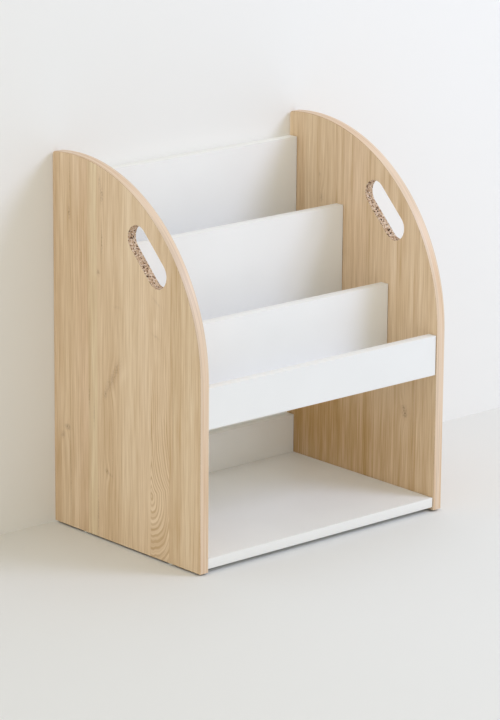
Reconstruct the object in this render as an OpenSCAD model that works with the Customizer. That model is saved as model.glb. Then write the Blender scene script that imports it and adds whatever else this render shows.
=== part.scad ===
// Stepped bookshelf: two side boards with a big round front corner and a handle slot each,
// joined by white cross boards that make three book tiers and an open compartment below.
// Width runs along X, the open front faces -Y, and Z = 0 is the floor under the glides.

/* [Overall] */
// Width over the outer faces of the side boards
width = 480; // [400:1:600]
// Depth of the side boards from front edge to back edge
depth = 332; // [310:1:380]
// Height of the side boards from bottom edge to top
side_h = 566; // [545:1:640]
// Thickness of every board
board_t = 15; // [13:0.5:18]
// Thickness of the edge strips glued to the boards
strip_t = 0.8; // [0.4:0.1:2]

/* [Side boards] */
// Radius of the big curve between the front edge and the top
arc_r = 290; // [260:1:300]
// Radius of the small corner between the top and the back edge
corner_r = 6; // [3:0.5:20]
// Length of the handle slot, end to end
handle_len = 103; // [90:1:120]
// Width of the handle slot
handle_w = 42; // [30:1:46]
// Distance from the curved edge in to the middle line of the handle slot
handle_in = 50; // [40:1:60]
// Where the handle slot sits on the curve, in degrees up from the level front
handle_turn = 44.4; // [35:0.1:55]
// Slope of the handle slot's long axis, in degrees from level
handle_slope = 45; // [35:0.5:55]

/* [Cross boards] */
// How far the cross boards stay behind the side boards' front edges
front_set = 2; // [0.5:0.5:10]
// How far the rear boards stay in front of the side boards' back edges
back_set = 2; // [0.5:0.5:10]
// Gap from the bottom of the side boards up to the base shelf
base_gap = 4.5; // [1:0.5:20]
// Drop from the top of the side boards to the top of the back panel
top_drop = 40.5; // [34:0.5:60]
// Height of the front rail and of the lower back rail
rail_h = 61; // [54:1:80]
// Height of the front divider
front_divider_h = 120.5; // [100:0.5:140]
// Height of the rear divider and of the back panel
tall_board_h = 200; // [150:1:215]
// Drop from the top of the back panel to the top of the rear divider
rear_drop = 89; // [70:1:100]
// Drop from the top of the rear divider to the top of the front divider
middle_drop = 104; // [90:1:120]
// Clear depth of the front tier
front_tier_d = 90; // [80:1:100]
// Clear depth of the middle tier
middle_tier_d = 87; // [80:1:100]

/* [Fittings] */
// Distance from a board's long edge in to its nearest fitting
fitting_in = 22; // [20:0.5:26]
// Distance from the lower edge of a rail up to its dowel
rail_dowel_up = 15; // [12:0.5:16]
// Distance from the base shelf's long edges in to its cam fittings
base_cam_in = 40; // [30:1:80]
// Diameter of the wooden dowels
dowel_d = 8; // [6:0.5:8]
// Length of the wooden dowels
dowel_len = 30; // [25:1:35]
// Bevel on the dowels' ends
dowel_bevel = 0.8; // [0.4:0.1:1.5]
// Depth of the dowel holes in the side boards
dowel_side_depth = 10.5; // [8:0.5:11]
// Extra depth at the blind end of each dowel hole
dowel_end_play = 0.5; // [0.2:0.1:1]
// Clearance round dowels, bolts, cam discs and nails, on the radius
fit_gap = 0.05; // [0.02:0.01:0.1]
// Diameter of the cam discs
cam_d = 15; // [12:0.5:16]
// Board left under the flat bottom of each cam disc hole
cam_floor = 2.5; // [1.5:0.5:3]
// Distance from a board's end in to the middle of its cam disc
cam_from_end = 24; // [20:0.5:34]
// Diameter of the bolt's threaded end in the side board
bolt_thread_d = 6.8; // [5:0.1:7]
// Length of the bolt's threaded end
bolt_thread_len = 10; // [8:0.5:11]
// Diameter of the bolt's smooth shank
bolt_shank_d = 6; // [4.6:0.1:6.4]
// Diameter of the bolt's neck behind the head
bolt_neck_d = 3.6; // [3:0.1:4.4]
// Diameter of the bolt's head inside the cam disc
bolt_head_d = 6.6; // [5:0.1:6.8]
// Height of the bolt's head
bolt_head_h = 3.2; // [2:0.1:4]
// Length of the bolt's neck
bolt_neck_len = 3; // [2:0.1:4]
// Bevel on the bolt's edges
bolt_bevel = 0.6; // [0.3:0.1:0.8]
// Room round the bolt's head inside the cam disc
head_room = 0.3; // [0.1:0.1:0.6]
// Diameter of the hole that the bolt passes through in a board's end
bolt_hole_d = 8; // [7:0.1:8]
// Width of the screwdriver cross in a cam disc
cross_w = 1.4; // [1:0.1:2]
// Span of the screwdriver cross
cross_span = 9; // [7:0.5:11]
// Depth of the screwdriver cross
cross_depth = 1.6; // [1:0.1:2]

/* [Glides] */
// Height of the glides under the side boards
glide_h = 3; // [2.5:0.5:8]
// Diameter of the glides
glide_d = 12; // [9:0.5:12.5]
// Bevel round the glides' lower rim
glide_bevel = 0.8; // [0.3:0.1:1.2]
// Distance from the side boards' front and back edges in to the glides
glide_in = 69; // [30:1:120]
// Diameter of the glide nails
nail_d = 2; // [1.6:0.1:2.5]
// Length of the glide nails above the glides
nail_len = 15; // [10:1:20]
// Diameter of the glide nails' heads
nail_head_d = 5; // [4:0.1:6]
// Glide material left under each nail head
nail_floor = 1; // [0.6:0.1:1.5]

/* [Hidden] */

// How smoothly round shapes are drawn: the big curve, then everything small
arc_fn = 360;
$fn = 64;
// How far a cutting shape runs past the face that it opens
past = 1;

wood_face = "#cdb08a";
wood_edge = "#dec4a6";
white_board = "#e9ebed";
white_strip = "#f2f3f4";
zinc = "#b4b6b8";
beech = "#d8b98f";
milky_plastic = "#d9d6cc";

// Side board outline, seen from the side
front_y = -depth / 2;
back_y = depth / 2;
arc_y = front_y + arc_r;
arc_z = glide_h + side_h - arc_r;
corner_y = back_y - corner_r;
corner_z = arc_z + sqrt(pow(arc_r - corner_r, 2) - pow(corner_y - arc_y, 2));
handle_y = arc_y - (arc_r - handle_in) * cos(handle_turn);
handle_z = arc_z + (arc_r - handle_in) * sin(handle_turn);

// Inner faces of the side boards, and so the ends of every cross board
inner_x = width / 2 - board_t;

// Heights and depths of the cross boards. The tiers hang down from the top of the side
// boards: each board's top is set by its drop from the one behind, and the front rail
// starts level with the front divider. The rear and middle floors lie at the foot of the
// board behind them
boards_front_y = front_y + front_set;
boards_back_y = back_y - back_set;
base_z = glide_h + base_gap;
base_top_z = base_z + board_t;
back_panel_z = glide_h + side_h - top_drop - tall_board_h;
rear_divider_z = back_panel_z - rear_drop;
front_divider_z = rear_divider_z + tall_board_h - middle_drop - front_divider_h;
front_divider_y = boards_front_y + board_t + front_tier_d;
rear_divider_y = front_divider_y + board_t + middle_tier_d;
back_panel_y = boards_back_y - board_t;

// A cross board is its place and size in depth and height, then the places of its cam
// fittings and of its dowels along its wider side, counted from its front or lower edge
function upright(y, z, h, dowel_up) = [y, z, board_t, h, [h - fitting_in], [dowel_up]];
function flat(y, z, d) = [y, z, d, board_t, [d - fitting_in], [fitting_in]];
function is_upright(b) = b[3] > b[2];

base_d = boards_back_y - boards_front_y;
base_shelf_b = [
    boards_front_y, base_z, base_d, board_t,
    [base_cam_in, base_d - base_cam_in], [base_d / 2]
];
lower_back_rail_b = upright(back_panel_y, base_top_z, rail_h, rail_dowel_up);
front_rail_b = upright(boards_front_y, front_divider_z, rail_h, rail_dowel_up);
front_floor_b = flat(boards_front_y + board_t, front_divider_z, front_tier_d);
front_divider_b = upright(front_divider_y, front_divider_z, front_divider_h, fitting_in);
middle_floor_b = flat(front_divider_y + board_t, rear_divider_z, middle_tier_d);
rear_divider_b = upright(rear_divider_y, rear_divider_z, tall_board_h, fitting_in);
rear_floor_b = flat(rear_divider_y + board_t, back_panel_z, back_panel_y - rear_divider_y - board_t);
back_panel_b = upright(back_panel_y, back_panel_z, tall_board_h, fitting_in);

cross_boards = [
    base_shelf_b, lower_back_rail_b, front_rail_b, front_floor_b, front_divider_b,
    middle_floor_b, rear_divider_b, rear_floor_b, back_panel_b
];

// Places in depth and height, as [y, z], of a board's cam fittings and of its dowels
function along(b, d) = is_upright(b) ? [b[0] + board_t / 2, b[1] + d] : [b[0] + d, b[1] + board_t / 2];
function cam_places(b) = [for (d = b[4]) along(b, d)];
function dowel_places(b) = [for (d = b[5]) along(b, d)];

// Puts its child at a place on the inner face of both side boards, with +Z pointing
// inwards along the cross board
module at_both_ends(places) {
    for (p = places, s = [-1, 1]) {
        translate([s * inner_x, p[0], p[1]]) rotate([0, -s * 90, 0]) children();
    }
}

// Turns an outline drawn in depth and height into a board of the given thickness along X
module stand_up(x, t) {
    translate([x, 0, 0]) rotate([90, 0, 90]) linear_extrude(t) children();
}

// What lies outside the rounded corner between the top and the back edge
module outside_corner(inset) {
    reach = 3 * corner_r;
    slope = [corner_y - arc_y, corner_z - arc_z] / (arc_r - corner_r);
    difference() {
        translate([corner_y, corner_z]) {
            polygon([[0, 0], [reach, 0], [reach, reach], slope * reach]);
        }
        translate([corner_y, corner_z]) circle(r = corner_r - inset);
    }
}

// Outline of a side board, drawn smaller all round the front, curve and back by the inset
module side_outline(inset, bottom_z) {
    difference() {
        union() {
            translate([front_y + inset, bottom_z]) square([depth - 2 * inset, arc_z - bottom_z]);
            intersection() {
                translate([arc_y, arc_z]) circle(r = arc_r - inset, $fn = arc_fn);
                translate([front_y + inset, arc_z]) square([depth - 2 * inset, arc_r]);
            }
        }
        outside_corner(inset);
    }
}

// The handle slot: a straight stretch with round ends
module handle_outline() {
    straight = handle_len - handle_w;
    translate([handle_y, handle_z]) rotate(handle_slope) {
        square([straight, handle_w], center = true);
        for (s = [-1, 1]) {
            translate([s * straight / 2, 0]) circle(d = handle_w);
        }
    }
}

// Everything drilled into the side boards: blind holes on their inner faces for bolts and
// dowels, and a nail hole above each glide
module side_drilling() {
    for (b = cross_boards) {
        at_both_ends(cam_places(b)) {
            translate([0, 0, -bolt_thread_len - fit_gap]) {
                cylinder(d = bolt_thread_d + 2 * fit_gap, h = bolt_thread_len + fit_gap + past);
            }
        }
        at_both_ends(dowel_places(b)) {
            translate([0, 0, -dowel_side_depth]) {
                cylinder(d = dowel_d + 2 * fit_gap, h = dowel_side_depth + past);
            }
        }
    }
    at_glides() {
        cylinder(d = nail_d + 2 * fit_gap, h = glide_h + nail_len + dowel_end_play);
    }
}

module side_board(x) {
    difference() {
        stand_up(x, board_t) {
            difference() {
                side_outline(strip_t, glide_h);
                handle_outline();
            }
        }
        side_drilling();
    }
}

module side_left() {
    color(wood_face) side_board(-width / 2);
}

module side_right() {
    color(wood_face) side_board(inner_x);
}

// One strip runs up the front edge, over the curve and down the back edge
module side_edge_strip(x) {
    color(wood_edge) stand_up(x, board_t) {
        difference() {
            side_outline(0, glide_h);
            side_outline(strip_t, glide_h - past);
        }
    }
}

module side_left_edge_strip() {
    side_edge_strip(-width / 2);
}

module side_right_edge_strip() {
    side_edge_strip(inner_x);
}

// Turns its child from pointing along +Z to the hidden face that a board's cams open on:
// the rear face of an upright board, the underside of a flat one
module facing_hidden(b) {
    rotate(is_upright(b) ? [-90, 0, 0] : [180, 0, 0]) children();
}

// Puts its child at the middle of each cam disc, at half the board's thickness
module at_cams(b) {
    for (p = cam_places(b), s = [-1, 1]) {
        translate([s * (inner_x - cam_from_end), p[0], p[1]]) children();
    }
}

module cross_drilling(b) {
    at_both_ends(cam_places(b)) {
        translate([0, 0, -past]) cylinder(d = bolt_hole_d, h = cam_from_end + past);
    }
    at_cams(b) facing_hidden(b) {
        translate([0, 0, cam_floor - board_t / 2]) cylinder(d = cam_d + 2 * fit_gap, h = board_t);
    }
    at_both_ends(dowel_places(b)) {
        translate([0, 0, -past]) {
            cylinder(d = dowel_d + 2 * fit_gap, h = past + dowel_len + 2 * dowel_end_play - dowel_side_depth);
        }
    }
}

// A cross board, with room left for the strips glued on its front, lower and upper edges
module cross_board(b, front_strip = 0, lower_strip = 0, upper_strip = 0) {
    color(white_board) difference() {
        translate([-inner_x, b[0] + front_strip, b[1] + lower_strip]) {
            cube([2 * inner_x, b[2] - front_strip, b[3] - lower_strip - upper_strip]);
        }
        cross_drilling(b);
    }
}

module upper_edge_strip(b) {
    color(white_strip) translate([-inner_x, b[0], b[1] + b[3] - strip_t]) {
        cube([2 * inner_x, b[2], strip_t]);
    }
}

module lower_edge_strip(b) {
    color(white_strip) translate([-inner_x, b[0], b[1]]) cube([2 * inner_x, b[2], strip_t]);
}

module base_shelf() {
    cross_board(base_shelf_b, front_strip = strip_t);
}

module base_shelf_edge_strip() {
    color(white_strip) translate([-inner_x, base_shelf_b[0], base_shelf_b[1]]) {
        cube([2 * inner_x, strip_t, board_t]);
    }
}

module lower_back_rail() {
    cross_board(lower_back_rail_b, upper_strip = strip_t);
}

module lower_back_rail_edge_strip() {
    upper_edge_strip(lower_back_rail_b);
}

module front_rail() {
    cross_board(front_rail_b, lower_strip = strip_t, upper_strip = strip_t);
}

// The front rail shows both of its long edges, so both have a strip
module front_rail_edge_strips() {
    upper_edge_strip(front_rail_b);
    lower_edge_strip(front_rail_b);
}

module front_floor() {
    cross_board(front_floor_b);
}

module front_divider() {
    cross_board(front_divider_b, upper_strip = strip_t);
}

module front_divider_edge_strip() {
    upper_edge_strip(front_divider_b);
}

module middle_floor() {
    cross_board(middle_floor_b);
}

module rear_divider() {
    cross_board(rear_divider_b, upper_strip = strip_t);
}

module rear_divider_edge_strip() {
    upper_edge_strip(rear_divider_b);
}

module rear_floor() {
    cross_board(rear_floor_b);
}

module back_panel() {
    cross_board(back_panel_b, upper_strip = strip_t);
}

module back_panel_edge_strip() {
    upper_edge_strip(back_panel_b);
}

// A cam bolt, turned about its own axis: threaded end, shank, neck and head. The middle of
// the head is the middle of the cam disc
module cam_bolt() {
    thread_r = bolt_thread_d / 2;
    shank_r = bolt_shank_d / 2;
    neck_r = bolt_neck_d / 2;
    head_r = bolt_head_d / 2;
    head_z = cam_from_end - bolt_head_h / 2;
    neck_z = head_z - bolt_neck_len;
    end_z = head_z + bolt_head_h;
    rotate_extrude() {
        polygon([
            [0, -bolt_thread_len],
            [thread_r - bolt_bevel, -bolt_thread_len],
            [thread_r, bolt_bevel - bolt_thread_len],
            [thread_r, 0],
            [shank_r, 0],
            [shank_r, neck_z - bolt_bevel],
            [neck_r, neck_z],
            [neck_r, head_z],
            [head_r, head_z + bolt_bevel],
            [head_r, end_z - bolt_bevel],
            [head_r - bolt_bevel, end_z],
            [0, end_z]
        ]);
    }
}

module cam_bolts() {
    color(zinc) for (b = cross_boards) {
        at_both_ends(cam_places(b)) cam_bolt();
    }
}

// A cam disc fills its hole. A keyway from its rim to past its middle takes the bolt's
// head, and a screwdriver cross is sunk in the face that shows
module cam_disc(toward_end) {
    key_d = bolt_head_d + 2 * head_room;
    difference() {
        translate([0, 0, cam_floor - board_t / 2]) cylinder(d = cam_d, h = board_t - cam_floor);
        rotate([0, toward_end * 90, 0]) {
            translate([0, 0, -bolt_head_h / 2 - head_room]) cylinder(d = key_d, h = cam_d);
        }
        translate([0, 0, board_t / 2 - cross_depth / 2]) {
            cube([cross_span, cross_w, cross_depth + 0.01], center = true);
            cube([cross_w, cross_span, cross_depth + 0.01], center = true);
        }
    }
}

module cam_discs() {
    color(zinc) for (b = cross_boards, p = cam_places(b), s = [-1, 1]) {
        translate([s * (inner_x - cam_from_end), p[0], p[1]]) facing_hidden(b) cam_disc(s);
    }
}

// A dowel has bevelled ends, and stops just short of the bottom of each of its holes
module wooden_dowel() {
    r = dowel_d / 2;
    low = dowel_end_play - dowel_side_depth;
    high = low + dowel_len;
    rotate_extrude() {
        polygon([
            [0, low],
            [r - dowel_bevel, low],
            [r, low + dowel_bevel],
            [r, high - dowel_bevel],
            [r - dowel_bevel, high],
            [0, high]
        ]);
    }
}

module wooden_dowels() {
    color(beech) for (b = cross_boards) {
        at_both_ends(dowel_places(b)) wooden_dowel();
    }
}

// Puts its child on the floor under the middle of each side board's bottom edge
module at_glides() {
    for (sx = [-1, 1], sy = [-1, 1]) {
        translate([sx * (width - board_t) / 2, sy * (depth / 2 - glide_in), 0]) children();
    }
}

module glides() {
    color(milky_plastic) at_glides() difference() {
        union() {
            cylinder(d1 = glide_d - 2 * glide_bevel, d2 = glide_d, h = glide_bevel);
            translate([0, 0, glide_bevel]) cylinder(d = glide_d, h = glide_h - glide_bevel);
        }
        translate([0, 0, nail_floor]) cylinder(d = nail_head_d + 2 * fit_gap, h = glide_h);
    }
}

// The nail's head fills the pocket in the glide, level with the board's bottom edge
module glide_nails() {
    color(zinc) at_glides() {
        translate([0, 0, nail_floor]) cylinder(d = nail_head_d, h = glide_h - nail_floor);
        translate([0, 0, glide_h]) cylinder(d = nail_d, h = nail_len);
    }
}

side_left();
side_right();
side_left_edge_strip();
side_right_edge_strip();
base_shelf();
base_shelf_edge_strip();
lower_back_rail();
lower_back_rail_edge_strip();
front_rail();
front_rail_edge_strips();
front_floor();
front_divider();
front_divider_edge_strip();
middle_floor();
rear_divider();
rear_divider_edge_strip();
rear_floor();
back_panel();
back_panel_edge_strip();
cam_bolts();
cam_discs();
wooden_dowels();
glides();
glide_nails();
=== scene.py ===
# %% [markdown]
# # A stepped bookshelf with two carrying handles
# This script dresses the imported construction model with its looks. The frame comes first: every size and place
# below is read from it or stated in millimetres, so a dressed piece always sits where its solid sits.

# %% Load the fixed frame
import math
import random

import bmesh
import bpy
from mathutils import Matrix, Vector


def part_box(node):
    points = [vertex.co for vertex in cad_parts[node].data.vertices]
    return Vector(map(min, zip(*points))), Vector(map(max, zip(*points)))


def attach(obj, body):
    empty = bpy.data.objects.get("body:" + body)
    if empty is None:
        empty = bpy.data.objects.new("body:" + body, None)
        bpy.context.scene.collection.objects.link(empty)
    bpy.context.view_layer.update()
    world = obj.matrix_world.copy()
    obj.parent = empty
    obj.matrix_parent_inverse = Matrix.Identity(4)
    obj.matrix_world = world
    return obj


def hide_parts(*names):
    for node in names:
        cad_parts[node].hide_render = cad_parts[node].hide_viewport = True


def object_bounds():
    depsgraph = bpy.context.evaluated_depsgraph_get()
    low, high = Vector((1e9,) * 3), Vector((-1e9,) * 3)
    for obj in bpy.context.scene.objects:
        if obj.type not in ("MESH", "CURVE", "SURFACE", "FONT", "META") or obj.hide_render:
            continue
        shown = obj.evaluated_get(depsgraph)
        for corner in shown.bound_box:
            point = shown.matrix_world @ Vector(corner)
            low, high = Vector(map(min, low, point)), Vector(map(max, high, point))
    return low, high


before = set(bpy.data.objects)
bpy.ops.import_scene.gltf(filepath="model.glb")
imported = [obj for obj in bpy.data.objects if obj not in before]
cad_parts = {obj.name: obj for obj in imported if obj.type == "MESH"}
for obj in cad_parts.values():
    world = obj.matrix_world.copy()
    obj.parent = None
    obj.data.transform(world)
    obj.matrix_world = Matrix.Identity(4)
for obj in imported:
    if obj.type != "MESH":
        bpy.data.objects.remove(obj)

MM = 0.001
cad_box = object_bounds()
print("frame box in mm:", [[round(c / MM, 1) for c in corner] for corner in cad_box])

# %% [markdown]
# ## The camera
# A long lens a good five metres away gives the flat, catalogue-like view. Its direction was worked out from the
# edges of the boards, whose sizes are known, so the numbers are angles and a distance and not a guess by eye.

# %% Camera
PICTURE_HIGH = 720
FOCAL_PIXELS = 3494.02
SENSOR = 36.0
YAW, PITCH, ROLL = (math.radians(a) for a in (-41.62, 15.46, 0.46))
DISTANCE = 5185.07 * MM
LOOK_AT = Vector((0, 0, 283.0)) * MM
SLIDE_RIGHT, SLIDE_UP = -1.01 * MM, -38.20 * MM
FAR_CLIP = 50

back = Vector((math.sin(YAW) * math.cos(PITCH), -math.cos(YAW) * math.cos(PITCH), math.sin(PITCH)))
level_right = Vector((math.cos(YAW), math.sin(YAW), 0))
level_up = back.cross(level_right)
cam_right = level_right * math.cos(ROLL) + level_up * math.sin(ROLL)
cam_up = level_up * math.cos(ROLL) - level_right * math.sin(ROLL)
cam_place = LOOK_AT + back * DISTANCE + cam_right * SLIDE_RIGHT + cam_up * SLIDE_UP

camera_data = bpy.data.cameras.new("camera")
camera_data.sensor_width = SENSOR
camera_data.lens = FOCAL_PIXELS * SENSOR / PICTURE_HIGH
camera_data.clip_end = FAR_CLIP
camera = bpy.data.objects.new("camera", camera_data)
bpy.context.scene.collection.objects.link(camera)
camera.matrix_world = Matrix((cam_right, cam_up, back)).transposed().to_4x4()
camera.matrix_world.translation = cam_place
bpy.context.scene.camera = camera
print("lens in mm:", round(camera_data.lens, 1), "camera at", [round(c, 2) for c in cam_place])

# %% [markdown]
# ## Helpers for materials
# Colours are written as sRGB hex codes, the way a paint or print is usually given, and one function turns them into
# the linear numbers that the renderer works in. Patterns are given by their real size in millimetres, and a second
# function turns that into the scale of a texture. A third adds one node, sets it and links it. The last two open a
# material and close it with its shader.

# %% Colour and node helpers
def linear(code):
    """The linear RGBA of an sRGB hex code."""
    parts = [int(code[i:i + 2], 16) / 255 for i in (1, 3, 5)]
    return tuple(c / 12.92 if c <= 0.04045 else ((c + 0.055) / 1.055) ** 2.4 for c in parts) + (1.0,)


def per_metre(*sizes):
    """How often patterns of these sizes in mm repeat in a metre. A size of 0 stands for no change along that axis."""
    return tuple(1 / (size * MM) if size else 0.0 for size in sizes)


def add(tree, kind, sockets=None, out=0, stops=None, **settings):
    """Adds a node, sets and links it, and returns one of its outputs."""
    node = tree.nodes.new("ShaderNode" + kind)
    for name, value in settings.items():
        setattr(node, name, value)
    for socket, value in (sockets or {}).items():
        if isinstance(value, bpy.types.NodeSocket):
            tree.links.new(value, node.inputs[socket])
        else:
            node.inputs[socket].default_value = value
    if stops:
        while len(node.color_ramp.elements) < len(stops):
            node.color_ramp.elements.new(0.5)
        for element, (place, colour) in zip(node.color_ramp.elements, stops):
            element.position, element.color = place, colour
    return node.outputs[out]


def new_material(name):
    """A new material, its node tree without the first shader, and the surface socket of its output."""
    material = bpy.data.materials.new(name)
    material.use_nodes = True
    tree = material.node_tree
    tree.nodes.clear()
    return material, tree, tree.nodes.new("ShaderNodeOutputMaterial").inputs["Surface"]


def finish_material(made, settings):
    """Puts the Principled shader with these socket values on the material's output."""
    material, tree, surface = made
    tree.links.new(add(tree, "BsdfPrincipled", settings), surface)
    return material


print("mid grey #808080 in linear light:", round(linear("#808080")[0], 3))
print("repeats in a metre of 2 mm and 0.5 mm:", [round(scale) for scale in per_metre(2, 0.5)])

# %% [markdown]
# ## The printed ash foil
# The side boards are particleboard with a melamine paper on both faces, printed with the picture of ash staves. A
# print has the colour of wood but not its depth: it is even in gloss, slightly satin, and the pores are only
# hinted at. The pattern is drawn as lines of equal value of one field that runs across the board. Pushing that
# field aside round a few points makes the lines flow round them, as growth rings do round a knot or in the
# arched figure of a plain-sawn plank. Each hill is so wide through the board that only its place on the face counts.

# %% Printed ash: hills that push a value up
FLAT = 1000.0


def push_field(tree, field, place, bumps):
    """Adds to the field one smooth hill for each bump: across, up, half width, half height (mm), push, tilt."""
    for across, up, wide, high, push, *tilt in bumps:
        turn = math.radians(tilt[0]) if tilt else 0.0
        scaled = add(tree, "Mapping", {"Vector": place, "Location": (0, across * MM, up * MM),
                                       "Rotation": (turn, 0, 0), "Scale": (FLAT, wide * MM, high * MM)},
                     vector_type="TEXTURE")
        squared = add(tree, "VectorMath", {0: scaled, 1: scaled}, out="Value", operation="DOT_PRODUCT")
        hill = add(tree, "Math", {0: math.exp(-1), 1: squared}, operation="POWER")
        field = add(tree, "Math", {0: hill, 1: push, 2: field}, operation="MULTIPLY_ADD")
    return field


# %% [markdown]
# A plain-sawn stave cuts the growth rings at a low angle, so they show as nested flames: round below, drawn out to
# a point above, where they run out into nearly straight lines. The ring distance from the middle of a flame is
# therefore an ellipse below and a slowly fading rise above, and the middle line leans a little.

# %% Printed ash: the flame figure
FLAME_DROP, FLAME_RISE, FLAME_FADE, FLAME_LEAN, FLAME_POINT = 2.1, 23.0, 36.0, 0.16, 0.5


def flame(tree, split, across, up):
    """The ring distance, in mm, from the middle of a flame at (across, up)."""
    height = add(tree, "Math", {0: split[2], 1: 1 / MM, 2: -up}, operation="MULTIPLY_ADD")
    aside = add(tree, "Math", {0: split[1], 1: 1 / MM, 2: -across}, operation="MULTIPLY_ADD")
    apart = add(tree, "Math", {0: aside}, operation="ABSOLUTE")
    height = add(tree, "Math", {0: apart, 1: -FLAME_POINT, 2: height}, operation="MULTIPLY_ADD")
    under = add(tree, "Math", {0: height, 1: 0.0}, operation="MINIMUM")
    over = add(tree, "Math", {0: height, 1: 0.0}, operation="MAXIMUM")
    lean = add(tree, "Math", {0: under, 1: -FLAME_LEAN, 2: aside}, operation="MULTIPLY_ADD")
    oval = add(tree, "CombineXYZ", {0: lean, 1: add(tree, "Math", {0: under, 1: 1 / FLAME_DROP}, operation="MULTIPLY")})
    oval = add(tree, "VectorMath", {0: oval}, out="Value", operation="LENGTH")
    fade = add(tree, "Math", {0: over, 1: -1 / FLAME_FADE}, operation="MULTIPLY")
    fade = add(tree, "Math", {0: math.e, 1: fade}, operation="POWER")
    fade = add(tree, "Math", {0: fade, 1: -FLAME_RISE, 2: FLAME_RISE}, operation="MULTIPLY_ADD")
    return add(tree, "Math", {0: fade, 1: oval}, operation="ADD")


# %% [markdown]
# The picture on the foil is made of staves, 7 to 46 mm wide, that run the whole height of the board. Each has its own
# tone and its own lines, and stops sharply at the next. A colour ramp with steps holds them: red is the tone, green
# how red or yellow it is, blue shifts its lines, and alpha says whether it shows growth rings.

# %% Printed ash: the staves
STAVE_LOW, STAVE_SPAN = -170.0, 340.0


def stave_steps(tree, across, staves, seed):
    """The ramp's colour and alpha for staves given as (left edge in mm, tone, warmth, rings)."""
    pick = random.Random(seed)
    stops = [(max(edge - STAVE_LOW, 0) / STAVE_SPAN, (0.5 + tone, 0.5 + warmth, pick.random(), rings))
             for edge, tone, warmth, rings in staves]
    spot = add(tree, "MapRange", {"Value": across, "From Min": STAVE_LOW * MM,
                                  "From Max": (STAVE_LOW + STAVE_SPAN) * MM})
    ramp = add(tree, "ValToRGB", {"Fac": spot}, stops=stops).node
    ramp.color_ramp.interpolation = "CONSTANT"
    parts = add(tree, "SeparateColor", {"Color": ramp.outputs["Color"]}).node.outputs
    return parts[0], parts[1], parts[2], ramp.outputs["Alpha"]


# %% [markdown]
# Three widths of line lie over one another: soft bands, streaks and fine lines. Each layer says how wide and how long
# its lines are, how much finer detail they have, and their weight. The finest lines of real ash are a quarter of a
# millimetre wide. They are drawn about 2 mm wide here, because anything finer than a pixel would only blur into the
# ground colour. All lines sway a little together, and growth rings fade away from their flame. The darkest places go
# 1.4 times as far from the light colour as the dark one does. Marks are the dark spots: knots, mineral streaks and
# scars, broken up as in wood.

# %% Printed ash: the material
PRINT_DARK, KNOT_BROWN = linear("#D2B084"), linear("#7A4A22")
PRINT_YELLOW, PRINT_RED = linear("#F6E2C0"), linear("#FADEC1")
RING_MM, MARK_MM, DARKEST = 4.7, 3.0, 1.4
SWAY_BY, SWAY_SIZE = 7 * MM, (0, 111, 400)
RIPPLE_MM, RIPPLE_SIZE = 6.0, (0, 20, 55.6)
STAVE_SHIFT, SEED_SHIFT = 31.0, 3.7
RINGS_OUTSIDE, RING_AREA = 0.15, (-10, 15, 50, 160, 0.95)
LINE_LAYERS = ((24.0, 420, 1.0, 0.48), (7.0, 260, 2.0, 0.75), (2.2, 75, 2.0, 1.4))


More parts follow.
